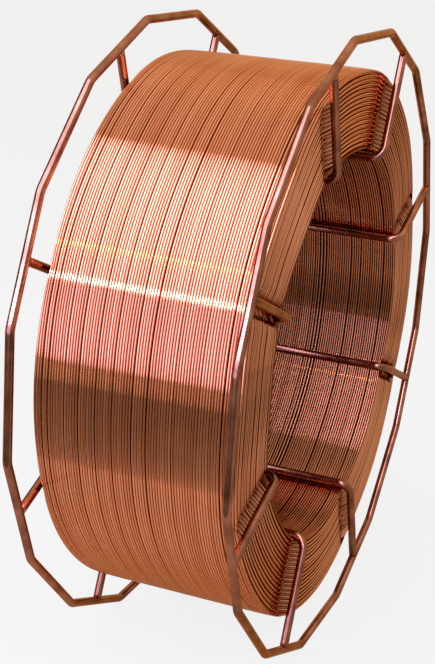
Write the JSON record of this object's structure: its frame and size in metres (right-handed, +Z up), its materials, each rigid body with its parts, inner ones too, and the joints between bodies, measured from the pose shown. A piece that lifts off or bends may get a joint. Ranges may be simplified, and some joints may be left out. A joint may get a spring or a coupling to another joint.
{
  "type": "spool of welding wire",
  "caption": "Open wire basket spool, two bent rims joined by U-shaped cross bars, wound full with a wide coil of copper-coated welding wire.",
  "frame": {"origin": "centre of the spool, on its axis and halfway between the rims", "axes": "+Y along the spool's axis, +Z up, with the spool standing on one straight side of each rim"},
  "size_m": [0.2946, 0.102, 0.2946],
  "materials": {
    "coated_wire": "drawn steel wire with a thin bright copper coat, wound tight",
    "basket_wire": "copper-washed drawn steel wire, grey heat tint at the welds"
  },
  "bodies": {
    "root": {"wire_coil": "coated_wire", "rim_right": "basket_wire", "rim_left": "basket_wire", "bar_1": "basket_wire", "bar_2": "basket_wire", "bar_3": "basket_wire", "bar_4": "basket_wire", "bar_5": "basket_wire", "bar_6": "basket_wire", "bar_7": "basket_wire", "bar_8": "basket_wire"}
  },
  "joints": []
}
